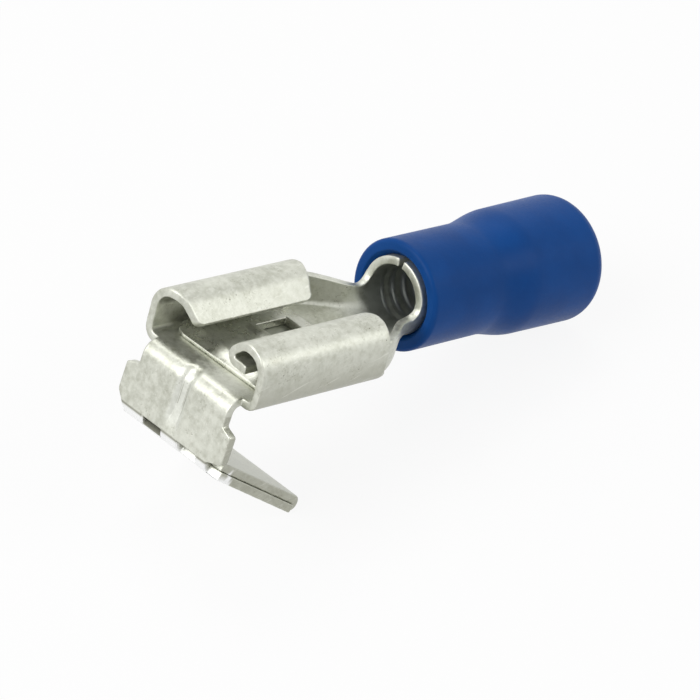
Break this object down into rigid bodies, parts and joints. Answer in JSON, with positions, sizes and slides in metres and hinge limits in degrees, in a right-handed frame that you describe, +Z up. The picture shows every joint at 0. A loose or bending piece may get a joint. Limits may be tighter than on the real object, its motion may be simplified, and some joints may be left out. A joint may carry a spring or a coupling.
{
  "type": "piggyback spade terminal",
  "caption": "Crimp terminal of folded tinned sheet with a curled receptacle, a branch tab folded under its mouth and a flared insulating sleeve on its barrel.",
  "frame": {"origin": "middle of the bounding box's base, on the surface the terminal lies on", "axes": "+X along the terminal towards the cable end, level with the surface; +Z up; the terminal's own axis slopes down towards the cable end because it lies on its branch tab and its sleeve"},
  "size_m": [0.0248, 0.0074, 0.0103],
  "materials": {
    "tinned_sheet": "tin plated, satin",
    "floor_sheet": "tin plated, satin",
    "blue_plastic": "soft satin"
  },
  "bodies": {
    "root": {"terminal_stamping": "tinned_sheet", "floor_plate": "floor_sheet", "insulating_sleeve": "blue_plastic"}
  },
  "joints": []
}
